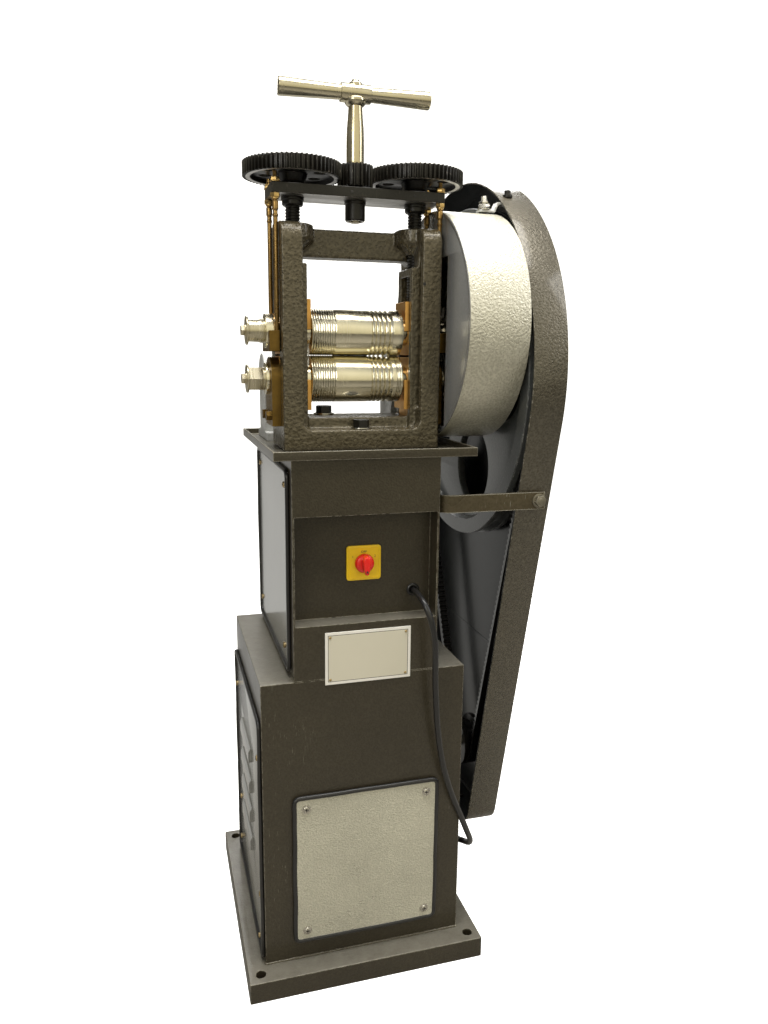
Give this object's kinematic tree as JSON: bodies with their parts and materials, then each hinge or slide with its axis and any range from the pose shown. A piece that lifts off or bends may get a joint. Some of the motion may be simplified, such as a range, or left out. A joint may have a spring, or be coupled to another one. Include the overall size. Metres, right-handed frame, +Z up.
{
  "type": "motor driven jewellers rolling mill",
  "caption": "Pedestal rolling mill: belt driven flywheel and gear train turn grooved rolls, a T bar sets the roll gap.",
  "frame": {"origin": "on the floor under the middle of the object without its hanging lead", "axes": "+Z up, +X to the right towards the belt guard, +Y to the rear, so -Y is the side where stock is fed"},
  "size_m": [0.44, 0.5848, 1.231],
  "materials": {
    "cabinet_paint": "fine textured olive brown paint",
    "silver_hammer_paint": "silver hammered paint",
    "grey_paint": "light grey paint",
    "flywheel_iron": "grey painted casting",
    "mill_casting": "rough painted casting",
    "black_steel": "blackened steel with worn edges",
    "bright_steel": "ground bright steel",
    "brass": "dull brass",
    "black_rubber": "matt black",
    "black_plastic": "matt black",
    "name_plate_metal": "cream enamel",
    "switch_yellow": "satin",
    "switch_red": "glossy"
  },
  "bodies": {
    "frame": {"base_plate": "cabinet_paint", "lower_cabinet": "cabinet_paint", "upper_cabinet": "cabinet_paint", "front_access_panel": "silver_hammer_paint", "front_panel_trim": "black_rubber", "upper_side_cover": "grey_paint", "lower_side_cover": "grey_paint", "name_plate": "name_plate_metal", "chip_tray": "cabinet_paint", "switch_body": "switch_yellow", "cable_grommet": "black_rubber", "cable_gland": "black_plastic", "switch_cable": "black_rubber", "mill_housing": "mill_casting", "front_housing_bolt": "black_steel", "rear_housing_bolt": "black_steel", "lower_left_bearing_block": "brass", "lower_right_bearing_block": "brass", "left_neck_plate": "brass", "right_neck_plate": "brass", "gear_cover": "silver_hammer_paint", "cover_link": "grey_paint", "left_bearing_bracket": "grey_paint", "right_bearing_bracket": "grey_paint", "drive_belt": "black_rubber", "motor": "grey_paint", "belt_guard": "cabinet_paint", "guard_strap": "cabinet_paint"},
    "crosshead": {"crosshead_plate": "black_steel", "centre_bush": "black_steel", "left_bush": "black_steel", "right_bush": "black_steel", "left_saddle": "brass", "right_saddle": "brass", "upper_left_bearing_block": "brass", "upper_right_bearing_block": "brass", "front_left_lift_rod": "brass", "rear_left_lift_rod": "brass", "front_right_lift_rod": "brass", "rear_right_lift_rod": "brass"},
    "left_screw_set": {"left_screw": "bright_steel", "left_screw_gear": "black_steel"},
    "right_screw_set": {"right_screw": "bright_steel", "right_screw_gear": "black_steel"},
    "handle": {"handle_pinion": "black_steel", "handle_shaft": "bright_steel", "handle_bar": "bright_steel"},
    "upper_roll_set": {"upper_roll": "bright_steel", "upper_spool": "bright_steel", "upper_roll_gear": "bright_steel"},
    "lower_roll_set": {"lower_roll": "bright_steel", "lower_spool": "bright_steel", "lower_roll_gears": "bright_steel"},
    "intermediate_set": {"intermediate_shaft": "bright_steel", "intermediate_gears": "bright_steel"},
    "flywheel_set": {"flywheel_shaft": "bright_steel", "flywheel_pulley": "flywheel_iron"},
    "motor_rotor": {"motor_shaft": "bright_steel", "motor_pulley": "black_steel"},
    "knob": {"switch_knob": "switch_red"}
  },
  "joints": [
    {"name": "roll_lift", "type": "slide", "parent": "frame", "child": "crosshead", "axis": [0, 0, 1], "range_m": [0, 0.006]},
    {"name": "handle_turn", "type": "hinge", "parent": "crosshead", "child": "handle", "pos_m": [-0.038, -0.14412, 1.15], "axis": [0, 0, 1], "range_deg": [-1546, 0]},
    {"name": "left_screw_turn", "type": "hinge", "parent": "crosshead", "child": "left_screw_set", "pos_m": [-0.123, -0.14412, 1.04], "axis": [0, 0, 1], "range_deg": [0, 540]},
    {"name": "right_screw_turn", "type": "hinge", "parent": "crosshead", "child": "right_screw_set", "pos_m": [0.047, -0.14412, 1.04], "axis": [0, 0, 1], "range_deg": [0, 540]},
    {"name": "upper_roll_spin", "type": "hinge", "parent": "crosshead", "child": "upper_roll_set", "pos_m": [-0.038, -0.14412, 0.90825], "axis": [1, 0, 0], "continuous": true},
    {"name": "lower_roll_spin", "type": "hinge", "parent": "frame", "child": "lower_roll_set", "pos_m": [-0.038, -0.14412, 0.84475], "axis": [1, 0, 0], "continuous": true},
    {"name": "intermediate_spin", "type": "hinge", "parent": "frame", "child": "intermediate_set", "pos_m": [0.112, -0.0635, 0.90047], "axis": [1, 0, 0], "continuous": true},
    {"name": "flywheel_spin", "type": "hinge", "parent": "frame", "child": "flywheel_set", "pos_m": [0.062, -0.00892, 0.84475], "axis": [1, 0, 0], "continuous": true},
    {"name": "motor_spin", "type": "hinge", "parent": "frame", "child": "motor_rotor", "pos_m": [0.112, -0.04742, 0.221], "axis": [1, 0, 0], "continuous": true},
    {"name": "switch_turn", "type": "hinge", "parent": "frame", "child": "knob", "pos_m": [-0.047, -0.24442, 0.6017], "axis": [0, 1, 0], "range_deg": [0, 90]}
  ],
  "couplings": [
    {"joint": "left_screw_turn", "follows": "handle_turn", "ratio": -0.34921},
    {"joint": "right_screw_turn", "follows": "handle_turn", "ratio": -0.34921},
    {"joint": "roll_lift", "follows": "handle_turn", "m_per_rad": -0.00022231},
    {"joint": "intermediate_spin", "follows": "flywheel_spin", "ratio": -0.3},
    {"joint": "lower_roll_spin", "follows": "flywheel_spin", "ratio": 0.097297},
    {"joint": "upper_roll_spin", "follows": "flywheel_spin", "ratio": -0.097297},
    {"joint": "motor_spin", "follows": "flywheel_spin", "ratio": 6.9229}
  ]
}
